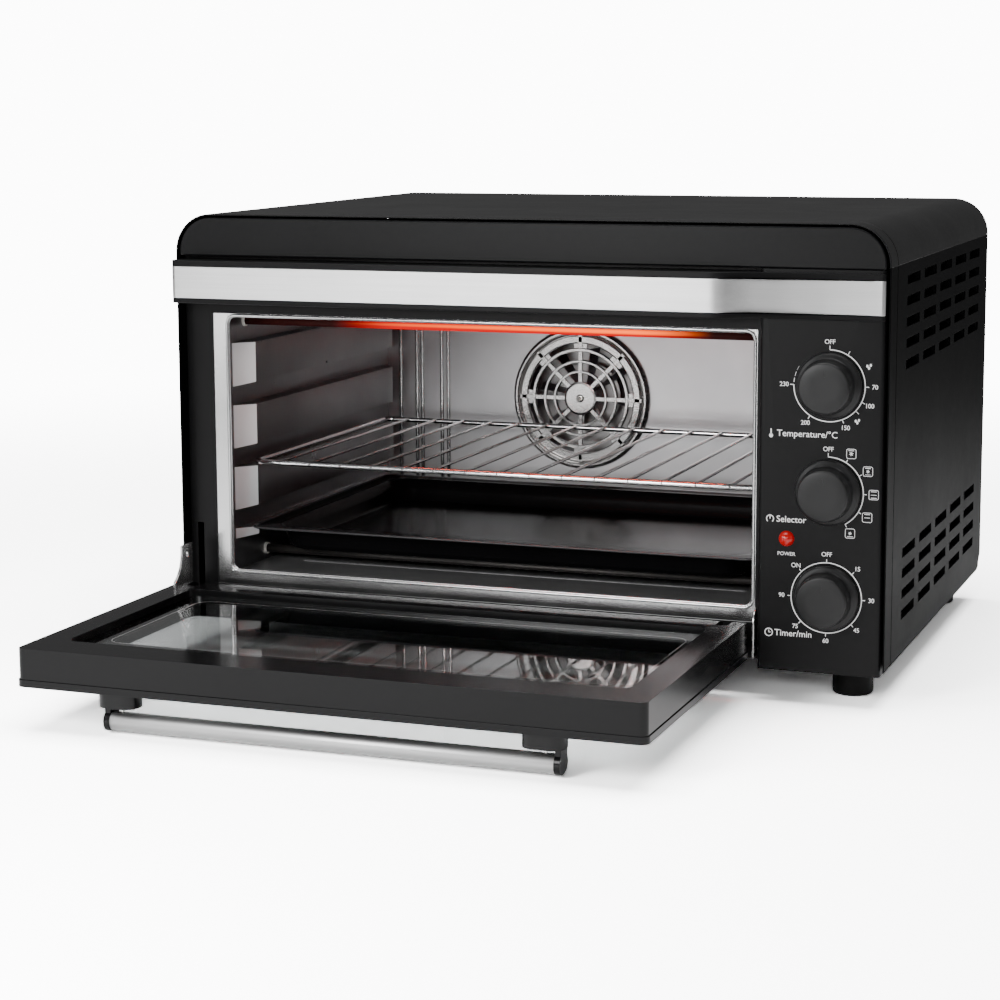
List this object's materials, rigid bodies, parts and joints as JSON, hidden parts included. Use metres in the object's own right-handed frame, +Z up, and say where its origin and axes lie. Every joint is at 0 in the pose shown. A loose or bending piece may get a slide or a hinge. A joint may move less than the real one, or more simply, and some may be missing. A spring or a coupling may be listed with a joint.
{
  "type": "toaster oven",
  "caption": "Countertop convection toaster oven with a drop-down glass door held open, steel handle, control panel with turning knobs, wire rack, baking tray and heated cavity",
  "frame": {"origin": "centre of the footprint of the whole oven with its door open, on the surface under the feet", "axes": "+X to the right seen from the front, +Y from the front to the back, +Z up"},
  "size_m": [0.53, 0.6378, 0.3295],
  "materials": {
    "satin_black_steel": "satin",
    "black_enamel_sheet": "satin",
    "black_fascia_plastic": "satin",
    "door_plastic": "satin",
    "brushed_trim": "brushed",
    "black_foot_rubber": "matte",
    "zinc_screw": "polished",
    "red_lens": "gloss",
    "pale_plastic": "satin",
    "switch_plastic": "satin",
    "switch_metal": "satin",
    "copper_bulb": "satin",
    "knob_plastic": "satin",
    "shaft_steel": "satin",
    "cavity_steel": "satin",
    "heater_sheath": "satin",
    "insulator_ceramic": "matte",
    "grille_steel": "satin",
    "fan_sheet": "satin",
    "motor_steel": "satin",
    "chrome_wire": "polished",
    "tray_enamel": "gloss",
    "door_glass": "gloss",
    "handle_steel": "brushed",
    "handle_plastic": "satin",
    "hinge_steel": "satin"
  },
  "bodies": {
    "housing": {"top_cover": "satin_black_steel", "left_side_panel": "satin_black_steel", "right_side_panel": "satin_black_steel", "rear_panel": "black_enamel_sheet", "base_plate": "black_enamel_sheet", "front_frame": "satin_black_steel", "upper_fascia": "black_fascia_plastic", "control_panel": "black_fascia_plastic", "trim_rail": "black_fascia_plastic", "trim_strip": "brushed_trim", "front_left_foot": "black_foot_rubber", "front_right_foot": "black_foot_rubber", "rear_left_foot": "black_foot_rubber", "rear_right_foot": "black_foot_rubber", "foot_screws": "zinc_screw", "rear_panel_screws": "zinc_screw", "cord_bushing": "black_foot_rubber", "power_lamp_lens": "red_lens", "power_lamp_holder": "pale_plastic", "thermostat": "switch_metal", "thermostat_bulb": "copper_bulb", "selector_switch": "switch_plastic", "timer_mechanism": "switch_metal", "terminal_block": "pale_plastic", "cavity_left_wall": "cavity_steel", "cavity_right_wall": "cavity_steel", "cavity_back_wall": "cavity_steel", "cavity_ceiling": "cavity_steel", "cavity_floor": "cavity_steel", "cavity_front_flange": "cavity_steel", "upper_front_heater": "heater_sheath", "upper_rear_heater": "heater_sheath", "lower_front_heater": "heater_sheath", "lower_rear_heater": "heater_sheath", "heater_insulators": "insulator_ceramic", "fan_grille": "grille_steel", "fan_grille_screw": "zinc_screw", "fan_chamber": "fan_sheet", "fan_motor": "motor_steel", "hinge_ears": "hinge_steel", "hinge_stop_plate": "hinge_steel"},
    "door": {"door_outer_plate": "door_plastic", "door_inner_frame": "door_plastic", "door_outer_glass": "door_glass", "door_inner_glass": "door_glass", "handle_tube": "handle_steel", "handle_posts": "handle_plastic", "handle_screws": "zinc_screw", "door_hinge_arm": "hinge_steel", "door_hinge_pins": "shaft_steel"},
    "temperature_control": {"temperature_knob": "knob_plastic", "temperature_shaft": "shaft_steel"},
    "selector_control": {"selector_knob": "knob_plastic", "selector_shaft": "shaft_steel"},
    "timer_control": {"timer_knob": "knob_plastic", "timer_shaft": "shaft_steel"},
    "fan": {"fan_impeller": "fan_sheet", "fan_shaft": "shaft_steel"},
    "rack": {"wire_rack": "chrome_wire"},
    "tray": {"baking_tray": "tray_enamel"}
  },
  "joints": [
    {"name": "door_hinge", "type": "hinge", "parent": "housing", "child": "door", "pos_m": [0, -0.0901, 0.035], "axis": [-1, 0, 0], "range_deg": [0, 90], "stiffness_Nm_per_rad": 0.5, "springref_deg": 110.01},
    {"name": "temperature_turn", "type": "hinge", "parent": "housing", "child": "temperature_control", "pos_m": [0.2246, -0.0801, 0.221], "axis": [0, 1, 0], "range_deg": [0, 270]},
    {"name": "selector_turn", "type": "hinge", "parent": "housing", "child": "selector_control", "pos_m": [0.2246, -0.0801, 0.1485], "axis": [0, 1, 0], "range_deg": [0, 150]},
    {"name": "timer_turn", "type": "hinge", "parent": "housing", "child": "timer_control", "pos_m": [0.2246, -0.0801, 0.076], "axis": [0, 1, 0], "range_deg": [-45, 270]},
    {"name": "fan_spin", "type": "hinge", "parent": "housing", "child": "fan", "pos_m": [-0.061, 0.2649, 0.1615], "axis": [0, 1, 0], "continuous": true},
    {"name": "rack_slide", "type": "slide", "parent": "housing", "child": "rack", "axis": [0, 1, 0], "range_m": [-0.26, 0]},
    {"name": "tray_slide", "type": "slide", "parent": "housing", "child": "tray", "axis": [0, 1, 0], "range_m": [-0.26, 0]}
  ]
}
